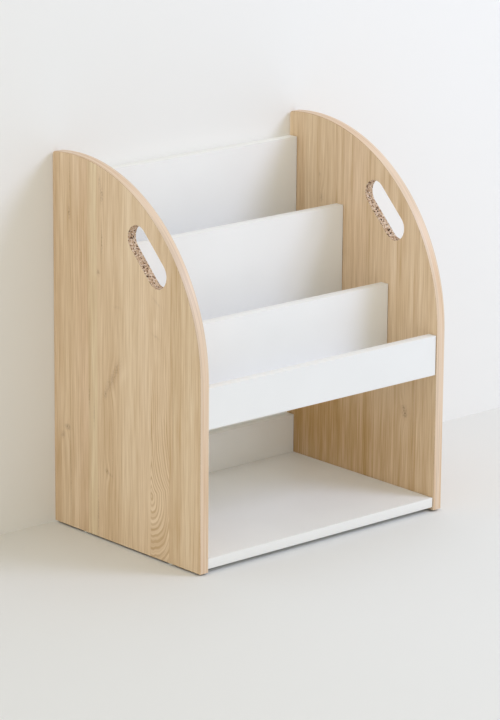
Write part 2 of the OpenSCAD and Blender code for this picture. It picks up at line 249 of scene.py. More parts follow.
def ash_print(name, seed, staves, flame_at, marks, tones=(), pushes=()):
    """The foil on one face, from its staves, flame, dark marks, soft areas of print tone and painted shade, and pushed
    lines.
    """
    made = new_material(name)
    tree = made[1]
    place = add(tree, "TexCoord", out="Object")
    split = add(tree, "SeparateXYZ", {0: place}).node.outputs
    sway = add(tree, "VectorMath", {0: place, 1: per_metre(*SWAY_SIZE)}, operation="MULTIPLY")
    sway = add(tree, "TexNoise", {"Vector": sway, "W": seed, "Scale": 1.0, "Detail": 2.0}, noise_dimensions="4D")
    tone, warmth, shift, rings = stave_steps(tree, split[1], staves, seed)
    field = add(tree, "Math", {0: sway, 1: SWAY_BY, 2: split[1]}, operation="MULTIPLY_ADD")
    field = push_field(tree, field, place, [(a, u, w, h, p * MM) for a, u, w, h, p in pushes])
    if flame_at:
        ripple = add(tree, "VectorMath", {0: place, 1: per_metre(*RIPPLE_SIZE)}, operation="MULTIPLY")
        ripple = add(tree, "TexNoise", {"Vector": ripple, "Scale": 1.0, "Detail": 2.0})
        rise = flame(tree, split, *flame_at)
        around = add(tree, "Math", {0: ripple, 1: RIPPLE_MM, 2: rise}, operation="MULTIPLY_ADD")
        along_flame = add(tree, "Math", {0: around, 1: MM}, operation="MULTIPLY")
        field = add(tree, "Mix", {"Factor": rings, "A": field, "B": along_flame}, out="Result", data_type="FLOAT")

    shade = add(tree, "Math", {0: tone, 1: -sum(weight for *_, weight in LINE_LAYERS) / 2}, operation="ADD")
    for width, length, detail, weight in LINE_LAYERS:
        across = add(tree, "Math", {0: field, 1: 1 / (width * MM)}, operation="MULTIPLY")
        along = add(tree, "Math", {0: split[2], 1: 1 / (length * MM)}, operation="MULTIPLY")
        along = add(tree, "Math", {0: shift, 1: STAVE_SHIFT, 2: along}, operation="MULTIPLY_ADD")
        vector = add(tree, "CombineXYZ", {0: across, 1: along, 2: seed * SEED_SHIFT})
        layer = add(tree, "TexNoise", {"Vector": vector, "Scale": 1.0, "Detail": detail, "Roughness": 0.6})
        shade = add(tree, "Math", {0: layer, 1: weight, 2: shade}, operation="MULTIPLY_ADD")
    shade = push_field(tree, shade, place, tones)
    if flame_at:
        turns = add(tree, "Math", {0: around, 1: 2 * math.pi / RING_MM}, operation="MULTIPLY")
        wave = add(tree, "Math", {0: turns}, operation="SINE")
        late = add(tree, "MapRange", {"Value": wave, "From Min": -0.5, "From Max": 1.0, "To Min": -0.17,
                                      "To Max": 0.4}, interpolation_type="SMOOTHSTEP")
        aside, above, *area = RING_AREA
        near = push_field(tree, RINGS_OUTSIDE, place, [(flame_at[0] + aside, flame_at[1] + above, *area)])
        late = add(tree, "Math", {0: late, 1: near}, operation="MULTIPLY")
        shade = add(tree, "Math", {0: late, 1: rings, 2: shade}, operation="MULTIPLY_ADD")
    shade = add(tree, "Clamp", {"Value": shade, "Max": DARKEST})
    light = add(tree, "Mix", {"Factor": warmth, "A": PRINT_YELLOW, "B": PRINT_RED}, out="Result", data_type="RGBA")
    ground = add(tree, "Mix", {"Factor": shade, "A": light, "B": PRINT_DARK}, out="Result", data_type="RGBA",
                 clamp_factor=False)

    spots = push_field(tree, 0.0, place, marks)
    broken = add(tree, "TexNoise", {"Vector": place, "Scale": 1 / (MARK_MM * MM), "Detail": 2.0})
    broken = add(tree, "MapRange", {"Value": broken, "From Min": 0.36, "From Max": 0.64, "To Min": 0.2, "To Max": 1.0})
    dark = add(tree, "Math", {0: spots, 1: broken}, operation="MULTIPLY", use_clamp=True)
    colour = add(tree, "Mix", {"Factor": dark, "A": ground, "B": KNOT_BROWN}, out="Result", data_type="RGBA")
    bump = add(tree, "Bump", {"Strength": 0.12, "Distance": 0.05 * MM, "Height": layer})
    return finish_material(made, {"Base Color": colour, "Roughness": 0.48, "IOR": 1.5, "Normal": bump})


# %% [markdown]
# The face that the picture shows best has one flame stave low in front, small knots, a smudged diagonal scar and
# several fine streaks. The other visible face is plainer, and low down, most towards the back of the compartment,
# it carries painted shade. A stave is given by its edge, its tone, how red it is and whether it shows rings. A mark,
# a lighter or darker area and a push are given by their place across and up from the floor, their half width and
# half height, their strength and, if they lean, their slope. All lengths are millimetres.

# %% Printed ash: the two faces that the picture shows
ash_left_outer = ash_print(
    "printed_ash_foil_left_outer", 1.0,
    staves=[(-170, 0.04, 0.0, 0), (-152, -0.09, -0.1, 0), (-124, 0.14, -0.1, 0), (-113, 0.04, -0.2, 0),
            (-106, 0.12, 0.0, 0), (-97, -0.06, 0.1, 1), (-56, -0.18, 0.1, 0), (-42, -0.24, 0.1, 0),
            (-30, -0.12, 0.0, 0), (-15, -0.2, 0.0, 0), (5, -0.1, 0.0, 0), (14, -0.01, 0.1, 0),
            (45, 0.06, 0.1, 0), (52, -0.09, 0.1, 0), (64, -0.22, -0.4, 0), (79, -0.06, -0.2, 0),
            (86, 0.07, 0.45, 0), (106, -0.16, 0.2, 0), (120, 0.07, 0.1, 0), (129, -0.06, 0.1, 0),
            (148, 0.06, 0.2, 0)],
    flame_at=(-57.5, 95),
    marks=[(44, 108, 3.4, 3.4, 0.48), (36, 104, 5, 2.2, 0.34, 25), (135, 155, 7, 4, 0.5), (146, 141, 4, 6, 0.4, 30),
           (128, 80, 1.3, 75, 0.24), (129, 481, 2.4, 9, 0.5), (127, 530, 1.2, 30, 0.24), (54, 520, 3.2, 12, 0.42),
           (59, 538, 1.8, 8, 0.36), (54, 450, 1.5, 20, 0.48), (62, 404, 3.0, 4, 0.5), (32, 249, 6.5, 31, 0.36, 31),
           (47, 224, 3, 5, 0.34), (21, 268, 2.5, 6, 0.35), (84, 214, 1.3, 13, 0.5), (73, 185, 1.1, 22, 0.28),
           (64, 36, 1.4, 40, 0.36), (-67, 334, 8, 2.6, 0.18, 20), (-68, 385, 10, 2.2, 0.18, 35),
           (31, 150, 1.2, 50, 0.14), (20, 360, 9, 2.5, 0.14), (-105, 250, 1.2, 90, 0.14)],
    tones=[(-158, 225, 8, 32, 0.18), (5, 262, 7, 16, -0.2, 31), (5, 130, 14, 60, -0.1), (40, 180, 9, 50, 0.12),
           (156, 110, 9, 45, 0.14), (-140, 30, 14, 30, 0.1), (-68, 350, 6, 10, -0.16), (-70, 305, 7, 12, -0.12)],
    pushes=[(40, 108, 9, 18, 5), (34, 250, 12, 30, -7), (137, 154, 8, 22, -6), (62, 404, 6, 22, 4)])
ash_right_inner_painted_shade = ash_print(
    "printed_ash_foil_right_inner_painted_shade", 2.0,
    staves=[(-170, -0.08, 0.0, 0), (-145, 0.1, 0.0, 0), (-138, -0.13, 0.0, 0), (-126, 0.15, 0.0, 0),
            (-114, -0.02, 0.0, 0), (-94, 0.14, 0.0, 0), (-76, -0.1, 0.1, 0), (-30, 0.0, 0.1, 0),
            (-18, 0.18, 0.2, 0), (-8, 0.0, 0.3, 0), (18, 0.06, 0.3, 0), (26, -0.08, 0.2, 0), (42, 0.15, 0.1, 0),
            (62, -0.02, 0.0, 0), (106, -0.12, 0.0, 0), (130, 0.06, 0.2, 0)],
    flame_at=None,
    marks=[(-100, 140, 3.5, 5, 0.5), (-97, 150, 3, 3, 0.4), (-99, 143, 6, 9, 0.3), (93, 442, 3, 6, 0.36),
           (97, 478, 2.5, 4, 0.2), (-118, 110, 1.4, 70, 0.16), (50, 90, 1.5, 50, 0.16)],
    # Painted shade: the foil is darker low down, most towards the back of the compartment.
    tones=[(115, 115, 75, 115, 0.62), (0, 80, 160, 110, 0.45)],
    pushes=[(-96, 145, 8, 22, 6), (93, 442, 8, 24, -5)])

# %% [markdown]
# The two faces that no picture shows draw their staves and marks from a seeded random source, with one flame each. The
# flame has a stave of its own, so the random ones that would start inside it or close to it are left out.

# %% Printed ash: the other two faces
LAST_STAVE = 166
FLAME_STAVE, KEEP_CLEAR = (-36, 5), (-38, 9)


def random_face(name, seed, across, up):
    """A face with random staves and marks, and one stave with a flame at (across, up)."""
    pick = random.Random(int(seed))
    staves, edge = [], STAVE_LOW
    while edge < LAST_STAVE:
        staves.append((edge, pick.uniform(-0.2, 0.2), pick.uniform(-0.3, 0.4), 0))
        edge += pick.uniform(8, 30)
    staves = [stave for stave in staves if not across + KEEP_CLEAR[0] < stave[0] < across + KEEP_CLEAR[1]]
    staves += [(across + FLAME_STAVE[0], 0.0, 0.1, 1), (across + FLAME_STAVE[1], -0.1, 0.0, 0)]
    marks = [(pick.uniform(-140, 150), pick.uniform(20, 420), 1.3, pick.uniform(20, 60), 0.24) for _ in range(6)]
    for _ in range(3):
        knot_across, knot_up = pick.uniform(-120, 140), pick.uniform(60, 400)
        marks += [(knot_across, knot_up, 3.2, 3.4, 0.4), (knot_across - 5, knot_up - 4, 5, 2.4, 0.28)]
    return ash_print(name, seed, sorted(staves), (across, up), marks)


ash_left_inner = random_face("printed_ash_foil_left_inner", 3.0, 40, 150)
ash_right_outer = random_face("printed_ash_foil_right_outer", 4.0, 30, 240)
print("ash print nodes:", [len(m.node_tree.nodes) for m in
                           (ash_left_outer, ash_right_inner_painted_shade, ash_left_inner, ash_right_outer)])

# %% [markdown]
# ## Raw particleboard
# The handle slots are milled right through the boards and left bare, and so is the edge that stands over the
# floor. Sawn and milled particleboard shows its chips, cut across: pale ones 1 to 4 mm long in brown glue-dark
# ground, with open pits between them. Two cell textures about 2 mm wide give chips and pits, bent by a noise so that
# no two chips are alike, and the bump makes the pits deep.

# %% Raw particleboard
CHIP_MM, BEND_MM, BEND_BY = 2.083, 2.0, 1.1 * MM


def raw_particleboard():
    made = new_material("milled_particleboard_edge")
    tree = made[1]
    place = add(tree, "TexCoord", out="Object")
    bent = add(tree, "TexNoise", {"Vector": place, "Scale": 1 / (BEND_MM * MM), "Detail": 2.0}, out="Color")
    bent = add(tree, "VectorMath", {0: bent, 1: (BEND_BY,) * 3, 2: place}, operation="MULTIPLY_ADD")
    chips = add(tree, "TexVoronoi", {"Vector": bent, "Scale": 1 / (CHIP_MM * MM), "Randomness": 1.0}, out="Color")
    tone = add(tree, "SeparateXYZ", {0: chips})
    chip_colour = add(tree, "ValToRGB", {"Fac": tone}, stops=[
        (0.0, linear("#2E1A0C")), (0.1, linear("#6E4C30")), (0.19, linear("#C8A686")),
        (0.6, linear("#DFC2A4")), (1.0, linear("#F6E4D0"))])
    pits = add(tree, "TexVoronoi", {"Vector": bent, "Scale": 1 / (CHIP_MM * MM), "Randomness": 1.0}, out="Distance",
               feature="DISTANCE_TO_EDGE")
    pits = add(tree, "MapRange", {"Value": pits, "From Min": 0.0, "From Max": 0.09, "To Min": 0.0, "To Max": 1.0})
    colour = add(tree, "Mix", {"Factor": pits, "A": linear("#84603E"), "B": chip_colour},
                 out="Result", data_type="RGBA")
    bump = add(tree, "Bump", {"Strength": 0.7, "Distance": 0.4 * MM, "Height": pits})
    return finish_material(made, {"Base Color": colour, "Roughness": 0.85, "IOR": 1.5, "Normal": bump})


raw_board = raw_particleboard()

# %% [markdown]
# ## Printed edge strip
# A thin strip is glued round the front, the curve and the back of each side board. Its print is paler and pinker
# than the faces and its lines run along it, so across the 15 mm width they are only a few, and along the strip they
# hardly change. A noise that repeats every few millimetres across and far slower along draws that, on the straight
# part and the curve. Real lines are finer, but would blur at this size, so the fine ones are drawn about 1 mm wide.

# %% Printed edge strip
WIDE_LINES, FINE_LINES = (3.85, 250, 250), (1.11, 100, 100)


def wood_strip():
    made = new_material("printed_wood_edge_strip")
    tree = made[1]
    place = add(tree, "TexCoord", out="Object")
    wide = add(tree, "VectorMath", {0: place, 1: per_metre(*WIDE_LINES)}, operation="MULTIPLY")
    fine = add(tree, "VectorMath", {0: place, 1: per_metre(*FINE_LINES)}, operation="MULTIPLY")
    wide = add(tree, "TexNoise", {"Vector": wide, "Scale": 1.0, "Detail": 1.0})
    fine = add(tree, "TexNoise", {"Vector": fine, "Scale": 1.0, "Detail": 2.0})
    both = add(tree, "Math", {0: fine, 1: 0.45, 2: wide}, operation="MULTIPLY_ADD")
    colour = add(tree, "ValToRGB", {"Fac": both}, stops=[
        (0.4, linear("#CCAA86")), (0.6, linear("#DFC2A3")), (0.78, linear("#E7D0B8")), (0.95, linear("#D6BEA5"))])
    bump = add(tree, "Bump", {"Strength": 0.1, "Distance": 0.05 * MM, "Height": fine})
    return finish_material(made, {"Base Color": colour, "Roughness": 0.42, "IOR": 1.5, "Normal": bump})


strip_wood = wood_strip()

# %% [markdown]
# ## White boards and their strips
# White melamine board is pressed against a textured plate, which leaves a very shallow pearl structure and a
# soft sheen. The real structure is half a millimetre fine. It is drawn three times as coarse, so that it still shows.
# The front rail takes a copy a shade greyer, which is painted shade: it keeps this most openly lit board from
# showing brighter than the others. The thin plastic strip on the long edges is a touch warmer and smoother, with
# faint lines from the scraper that trims it, drawn coarser than the real ones too.

# %% White melamine and white strip
PEARL_MM, CLOUD_MM, SCRAPER_LINES = 1.54, 111, (167, 0.667, 0.667)


def white_melamine(name, low, high):
    made = new_material(name)
    tree = made[1]
    place = add(tree, "TexCoord", out="Object")
    pearl = add(tree, "TexNoise", {"Vector": place, "Scale": 1 / (PEARL_MM * MM), "Detail": 3.0, "Roughness": 0.55})
    cloud = add(tree, "TexNoise", {"Vector": place, "Scale": 1 / (CLOUD_MM * MM), "Detail": 2.0})
    colour = add(tree, "ValToRGB", {"Fac": cloud}, stops=[(0.3, linear(low)), (0.7, linear(high))])
    rough = add(tree, "MapRange", {"Value": pearl, "From Min": 0.3, "From Max": 0.7, "To Min": 0.38, "To Max": 0.5})
    bump = add(tree, "Bump", {"Strength": 0.15, "Distance": 0.08 * MM, "Height": pearl})
    return finish_material(made, {"Base Color": colour, "Roughness": rough, "IOR": 1.5, "Normal": bump})


def white_strip():
    made = new_material("white_plastic_edge_strip")
    tree = made[1]
    place = add(tree, "TexCoord", out="Object")
    lines = add(tree, "VectorMath", {0: place, 1: per_metre(*SCRAPER_LINES)}, operation="MULTIPLY")
    lines = add(tree, "TexNoise", {"Vector": lines, "Scale": 1.0, "Detail": 2.0})
    colour = add(tree, "ValToRGB", {"Fac": lines}, stops=[(0.3, linear("#EFEFED")), (0.7, linear("#F4F4F2"))])
    bump = add(tree, "Bump", {"Strength": 0.12, "Distance": 0.05 * MM, "Height": lines})
    return finish_material(made, {"Base Color": colour, "Roughness": 0.36, "IOR": 1.49, "Normal": bump})


white_board = white_melamine("white_melamine_board", "#F4F5F5", "#F7F8F8")
white_rail_painted_shade = white_melamine("white_melamine_front_rail_painted_shade", "#ECEDED", "#EFF0F0")
strip_white = white_strip()

# %% [markdown]
# ## Fittings: zinc, steel, beech and polyethylene
# Cam discs are die-cast zinc: grey, slightly grainy, with the dull shine of a casting. Bolts and nails are zinc
# plated steel, brighter and smoother. The dowels are plain beech, with the grain along them. The glides are moulded
# in milky polyethylene, which lets a little light in. The grain of the castings is drawn near 1 mm, coarser than it is.

# %% Fitting materials
def speckled(name, low, high, sizes, settings, bump_mm):
    """A finish with two close colours in a noise of these sizes (x, y, z in mm), which also makes its bump."""
    made = new_material(name)
    tree = made[1]
    place = add(tree, "TexCoord", out="Object")
    stretched = add(tree, "VectorMath", {0: place, 1: per_metre(*sizes)}, operation="MULTIPLY")
    noise = add(tree, "TexNoise", {"Vector": stretched, "Scale": 1.0, "Detail": 3.0})
    colour = add(tree, "ValToRGB", {"Fac": noise}, stops=[(0.35, linear(low)), (0.65, linear(high))])
    bump = add(tree, "Bump", {"Strength": 0.3, "Distance": bump_mm * MM, "Height": noise})
    return finish_material(made, {"Base Color": colour, "Normal": bump, **settings})


cast_zinc = speckled("bare_die_cast_zinc", "#A3A5A6", "#BFC1C2", (0.83, 0.83, 0.83),
                     {"Metallic": 1.0, "Roughness": 0.46}, 0.08)
plated_steel = speckled("zinc_plated_steel", "#BCBFC2", "#D6D8DA", (1.1, 1.1, 1.1),
                        {"Metallic": 1.0, "Roughness": 0.28}, 0.03)
beech = speckled("beech_dowel", "#B98A5E", "#D3A97E", (17, 0.9, 0.9), {"Roughness": 0.6, "IOR": 1.5}, 0.15)
milky_plastic = speckled("milky_polyethylene", "#E2E1DA", "#ECEBE6", (3.3, 3.3, 3.3),
                         {"Roughness": 0.42, "IOR": 1.51, "Subsurface Weight": 0.25,
                          "Subsurface Radius": (2 * MM, 2 * MM, 2 * MM)}, 0.03)

# %% [markdown]
# ## Making and placing a piece
# Every piece is made in its final place from a bmesh, becomes an object and rides on the one body. Faces that meet
# at a small angle are shaded smooth and the rest stay sharp.

# %% Piece helpers
SMOOTH_BELOW = math.radians(20)


def make_piece(name, shape, materials, slot, *nodes):
    """Turns a bmesh into a piece that rides on the body and stands for these nodes."""
    bmesh.ops.recalc_face_normals(shape, faces=shape.faces)
    mesh = bpy.data.meshes.new(name)
    shape.to_mesh(mesh)
    shape.free()
    for material in materials:
        mesh.materials.append(material)
    mesh.shade_smooth()
    mesh.set_sharp_from_angle(angle=SMOOTH_BELOW)
    piece = bpy.data.objects.new(name, mesh)
    bpy.context.scene.collection.objects.link(piece)
    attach(piece, "root")
    if nodes:
        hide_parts(*nodes)
    return piece


def rod(shape, middle, axis, radius, length, segments):
    """Adds a closed cylinder along x, y or z."""
    turn = {"x": Matrix.Rotation(math.pi / 2, 4, "Y"), "y": Matrix.Rotation(math.pi / 2, 4, "X"),
            "z": Matrix.Identity(4)}[axis]
    bmesh.ops.create_cone(shape, cap_ends=True, segments=segments, radius1=radius, radius2=radius, depth=length,
                          matrix=Matrix.Translation(middle) @ turn)


def block(shape, low, high):
    """Adds a closed box and returns its corners."""
    size = Vector(high) - Vector(low)
    place = Matrix.Translation((Vector(low) + Vector(high)) / 2) @ Matrix.Diagonal((*size, 1))
    return bmesh.ops.create_cube(shape, size=1.0, matrix=place)["verts"]


# %% [markdown]
# ## The outline of a side board
# One big arc makes the front and the top, and runs on past its highest point to a small rounded corner at the back.
# The same function gives the outer line of the strip and, moved in by the strip's thickness, the board's own edge. A
# point halfway up the straight front and back keeps the long faces of the mesh in shape.

# %% Side board outline
STRIP_T = 0.8
ARC_R, CORNER_R = 290.0, 6.0
ARC_STEPS, CORNER_STEPS = 120, 14
HALFWAY_FRONT, HALFWAY_BACK = 140, 280
side_low, side_high = (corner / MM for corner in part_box("side_left_edge_strip"))
arc_y, arc_z = side_low.y + ARC_R, side_high.z - ARC_R
corner_y = side_high.y - CORNER_R
corner_z = arc_z + math.sqrt((ARC_R - CORNER_R) ** 2 - (corner_y - arc_y) ** 2)
arc_end = math.atan2(corner_z - arc_z, corner_y - arc_y)


def outline(inset):
    """Points (y, z) in mm of a side board's edge moved in by inset, from the front foot to the back foot."""
    line = [(side_low.y + inset, side_low.z), (side_low.y + inset, side_low.z + HALFWAY_FRONT)]
    for i in range(ARC_STEPS + 1):
        turn = math.pi + (arc_end - math.pi) * i / ARC_STEPS
        line.append((arc_y + (ARC_R - inset) * math.cos(turn), arc_z + (ARC_R - inset) * math.sin(turn)))
    for i in range(1, CORNER_STEPS + 1):
        turn = arc_end * (1 - i / CORNER_STEPS)
        line.append((corner_y + (CORNER_R - inset) * math.cos(turn), corner_z + (CORNER_R - inset) * math.sin(turn)))
    line += [(side_high.y - inset, side_low.z + HALFWAY_BACK), (side_high.y - inset, side_low.z)]
    return line


print("arc centre", arc_y, arc_z, "corner centre", corner_y, round(corner_z, 2), "points", len(outline(0)))

# %% [markdown]
# ## The handle slot
# The slot is a stadium: two half circles joined by straight sides, turned 45 degrees. A router cuts it, so its rim
# is crisp, with the arris of the foil just broken.

# %% Handle slot
SLOT_Y, SLOT_Z, SLOT_LONG, SLOT_WIDE, SLOT_SLOPE = -47.47, 446.92, 103.0, 42.0, math.radians(45)
SLOT_STEPS = 28


def slot_line(grow):
    """Points (y, z) in mm round the slot, grown outwards by grow."""
    radius, half = SLOT_WIDE / 2 + grow, (SLOT_LONG - SLOT_WIDE) / 2
    line = []
    for end, start in ((half, -math.pi / 2), (-half, math.pi / 2)):
        for i in range(SLOT_STEPS + 1):
            turn = start + math.pi * i / SLOT_STEPS
            u, v = end + radius * math.cos(turn), radius * math.sin(turn)
            line.append((SLOT_Y + u * math.cos(SLOT_SLOPE) - v * math.sin(SLOT_SLOPE),
                         SLOT_Z + u * math.sin(SLOT_SLOPE) + v * math.cos(SLOT_SLOPE)))
    return line


# %% [markdown]
# ## Fittings and their holes
# Cam bolts, cam discs, dowels and nails sit in drilled holes. Their places are read from the frame: each loose lump
# of a fitting solid is one fitting.

# %% Where the fittings are
WELD = 0.001 * MM


def lumps(node):
    """The lowest and highest corner, in metres, of each separate solid in a node."""
    shape = bmesh.new()
    shape.from_mesh(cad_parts[node].data)
    bmesh.ops.remove_doubles(shape, verts=shape.verts, dist=WELD)
    found, left = [], set(shape.verts)
    while left:
        group, todo = [], [left.pop()]
        while todo:
            vert = todo.pop()
            group.append(vert.co.copy())
            for edge in vert.link_edges:
                other = edge.other_vert(vert)
                if other in left:
                    left.remove(other)
                    todo.append(other)
        found.append(tuple(Vector([pick(p[i] for p in group) for i in range(3)]) for pick in (min, max)))
    shape.free()
    return sorted(found, key=lambda pair: tuple(pair[0]))


discs, bolts, dowels, nails = (lumps(n) for n in ("cam_discs", "cam_bolts", "wooden_dowels", "glide_nails"))
print("cam discs", len(discs), "bolts", len(bolts), "dowels", len(dowels), "nails", len(nails))

# %% [markdown]
# A hole is a little wider than what it holds, and a drill cuts through the foil into the chips, so its wall is raw
# board. Each cutter stands out of the face a little, and one boolean cuts all the holes of a piece at once.

# %% Holes
FIT_GAP, END_PLAY, PAST = 0.05 * MM, 0.5 * MM, 1.0 * MM
BOLT_HOLE, NAIL_HOLE = 8.0 * MM, 2.1 * MM
HOLE_SIDES, DISC_SIDES = 32, 64


def drill(holes, place, axis, mouth, end, diameter, sides=HOLE_SIDES):
    """Adds the cutter of a round hole through this place, from its mouth on a face to its blind end."""
    index, mouth = "xyz".index(axis), mouth + math.copysign(PAST, mouth - end)
    middle = place.copy()
    middle[index] = (mouth + end) / 2
    rod(holes, middle, axis, diameter / 2, abs(mouth - end), sides)


def carve(piece, holes, raw):
    """Cuts these closed lumps out of a piece. The new walls take the piece's material number raw."""
    for face in holes.faces:
        face.material_index = raw
    mesh = bpy.data.meshes.new("cutter")
    holes.to_mesh(mesh)
    holes.free()
    for material in piece.data.materials:
        mesh.materials.append(material)
    tool = bpy.data.objects.new("cutter", mesh)
    bpy.context.scene.collection.objects.link(tool)
    cut = piece.modifiers.new("holes", "BOOLEAN")
    cut.operation, cut.solver, cut.use_self, cut.object = "DIFFERENCE", "EXACT", True, tool
    done = bpy.data.meshes.new_from_object(piece.evaluated_get(bpy.context.evaluated_depsgraph_get()))
    piece.modifiers.clear()
    piece.data = done
    piece.data.shade_smooth()
    piece.data.set_sharp_from_angle(angle=SMOOTH_BELOW)
    bpy.data.objects.remove(tool)
    bpy.data.meshes.remove(mesh)
    print(piece.name, "faces", len(done.polygons))


# %% [markdown]
# ## Side boards
# Each board is built as rings of points: the face ring, then a ring 0.15 mm deeper, which gives the arris its tiny
# flat, and the same on the other face. The two faces are filled between the outline and the slot. Bolts and dowels
# enter from the inner face, and the nails of the glides from below.

# %% Side boards
ARRIS = 0.15
OUTER, INNER, RAW = range(3)


def side_board(name, node, outer_foil, inner_foil):
    low, high = (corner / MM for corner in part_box(node))
    shape = bmesh.new()
    rings = {"edge": [], "slot": []}
    for x, drawn in ((low.x, ARRIS), (low.x + ARRIS, 0), (high.x - ARRIS, 0), (high.x, ARRIS)):
        for key, line in (("edge", outline(STRIP_T + drawn)), ("slot", slot_line(drawn))):
            rings[key].append([shape.verts.new(Vector((x, y, z)) * MM) for y, z in line])
    for key in ("edge", "slot"):
        for near, far in zip(rings[key], rings[key][1:]):
            for i in range(len(near)):
                j = (i + 1) % len(near)
                shape.faces.new((near[i], near[j], far[j], far[i])).material_index = RAW
    left_is_outer = low.x < 0
    for index, foil in ((0, OUTER if left_is_outer else INNER), (3, INNER if left_is_outer else OUTER)):
        loops = [rings["edge"][index], rings["slot"][index]]
        edges = [shape.edges.get((a, b)) for loop in loops for a, b in zip(loop, loop[1:] + loop[:1])]
        filled = bmesh.ops.triangle_fill(shape, use_beauty=True, use_dissolve=False, edges=edges)["geom"]
        for face in filled:
            if isinstance(face, bmesh.types.BMFace):
                face.material_index = foil
    piece = make_piece(name, shape, [outer_foil, inner_foil, raw_board], "woodgrain_board", node)
    side, inner = (-1, high.x * MM) if left_is_outer else (1, low.x * MM)
    holes = bmesh.new()
    for fittings, play in ((bolts, FIT_GAP), (dowels, END_PLAY)):
        for near, far in fittings:
            if near.x * side > 0:
                end = (far.x if side > 0 else near.x) + side * play
                drill(holes, (near + far) / 2, "x", inner, end, far.y - near.y + 2 * FIT_GAP)
    for near, far in nails:
        if near.x * side > 0:
            drill(holes, (near + far) / 2, "z", low.z * MM, far.z + END_PLAY, NAIL_HOLE)
    carve(piece, holes, RAW)


side_board("ash_side_board_left", "side_left", ash_left_outer, ash_left_inner)
side_board("ash_side_board_right", "side_right", ash_right_outer, ash_right_inner_painted_shade)

# %% [markdown]
# ## Strips round the side boards
# The strip is a band swept along the outline. Its two outer arrises are scraped round after gluing, which catches a
# fine line of light, so the swept section has three small steps at each arris.

# %% Strips round the side boards
SCRAPE = 0.35


def side_strip(name, node):
    low, high = (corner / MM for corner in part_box(node))
    section = [(low.x, 0.0), (low.x, STRIP_T - SCRAPE)]
    section += [(low.x + SCRAPE * (1 - math.cos(a)), STRIP_T - SCRAPE * (1 - math.sin(a)))
                for a in (math.pi / 6, math.pi / 3, math.pi / 2)]
    section += [(low.x + high.x - x, out) for x, out in reversed(section)]
    shape = bmesh.new()
    rings = [[shape.verts.new(Vector((x, y, z)) * MM) for y, z in outline(STRIP_T - out)] for x, out in section]
    for near, far in zip(rings, rings[1:] + rings[:1]):
        for i in range(len(near) - 1):
            shape.faces.new((near[i], near[i + 1], far[i + 1], far[i]))
    for end in (0, -1):
        shape.faces.new([ring[end] for ring in rings])
    return make_piece(name, shape, [strip_wood], "woodgrain_edge_strip", node)


side_strip("edge_strip_round_left_board", "side_left_edge_strip")
side_strip("edge_strip_round_right_board", "side_right_edge_strip")

# %% [markdown]
# ## White boards
# Nine flat boards, each cut to size, with broken arrises and raw ends. Round pockets for the cam discs are bored from
# the hidden face, and a bolt runs in a wider hole from the board's end to its pocket. The dowels have their own holes
# in the ends. The ends stop a hair short of the side boards, which draws the fine dark line seen at every joint.

# %% White boards
BOARD_ARRIS, SLACK = 0.18, 0.5 * MM
END_GAP = Vector((0.7, 0, 0)) * MM


def holds(low, high, lump):
    """True where the middle of a lump lies in a box, seen along x."""
    middle = (lump[0] + lump[1]) / 2
    return all(low[i] - SLACK < middle[i] < high[i] + SLACK for i in (1, 2))


def cutters(low, high):
    """One mesh of every hole of the board with this box."""
    holes = bmesh.new()
    for near, far in (d for d in discs if holds(low, high, d)):
        axis = min((1, 2), key=lambda i: (far - near)[i])
        outwards = high[axis] - far[axis] < near[axis] - low[axis]
        mouth, end = (high[axis], near[axis] - FIT_GAP) if outwards else (low[axis], far[axis] + FIT_GAP)
        drill(holes, (near + far) / 2, "xyz"[axis], mouth, end, far.x - near.x + 2 * FIT_GAP, DISC_SIDES)
    for fittings, play in ((bolts, 0.0), (dowels, END_PLAY)):
        for near, far in (f for f in fittings if holds(low, high, f)):
            wide = BOLT_HOLE if fittings is bolts else far.y - near.y + 2 * FIT_GAP
            mouth, end = (high.x, near.x - play) if near.x > 0 else (low.x, far.x + play)
            drill(holes, (near + far) / 2, "x", mouth, end, wide)
    return holes


def white_piece(name, node):
    low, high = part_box(node)
    shape = bmesh.new()
    block(shape, low + END_GAP, high - END_GAP)
    bmesh.ops.bevel(shape, geom=shape.edges[:], offset=BOARD_ARRIS * MM, segments=1, affect="EDGES")
    shape.normal_update()
    for face in shape.faces:
        is_end = abs(face.normal.x) > 0.9
        face.material_index = int(is_end)
    # The front rail's greyer copy of the white melamine is painted shade.
    white = white_rail_painted_shade if node == "front_rail" else white_board
    carve(make_piece(name, shape, [white, raw_board], "white_board", node), cutters(low, high), 1)


WHITE_BOARDS = ("base_shelf", "lower_back_rail", "front_rail", "front_floor", "front_divider", "middle_floor",
                "rear_divider", "rear_floor", "back_panel")
for node in WHITE_BOARDS:
    white_piece("white_" + node, node)

# %% [markdown]
# ## White strips
# Each open long edge of a white board has its own strip, as thin as the ones round the side boards. Its two outer
# arrises are scraped round. A strip is a block whose edges along the board on the outer side are bevelled.

# %% White strips
TOUCH = 0.01 * MM


def white_strip_piece(name, node):
    shape = bmesh.new()
    for low, high in lumps(node):
        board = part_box(node.replace("_edge_strips", "").replace("_edge_strip", ""))
        size = high - low
        axis = min((1, 2), key=lambda i: size[i])
        outwards = 1 if (low + high)[axis] > (board[0] + board[1])[axis] else -1
        face = (high if outwards > 0 else low)[axis]
        corners = block(shape, low + END_GAP, high - END_GAP)
        edges = dict.fromkeys(edge for corner in corners for edge in corner.link_edges
                              if all(abs(v.co[axis] - face) < TOUCH for v in edge.verts)
                              and abs(edge.verts[0].co.x - edge.verts[1].co.x) > size.x / 2)
        bmesh.ops.bevel(shape, geom=list(edges), offset=SCRAPE * MM, segments=3, profile=0.5, affect="EDGES")
    return make_piece(name, shape, [strip_white], "white_edge_strip", node)


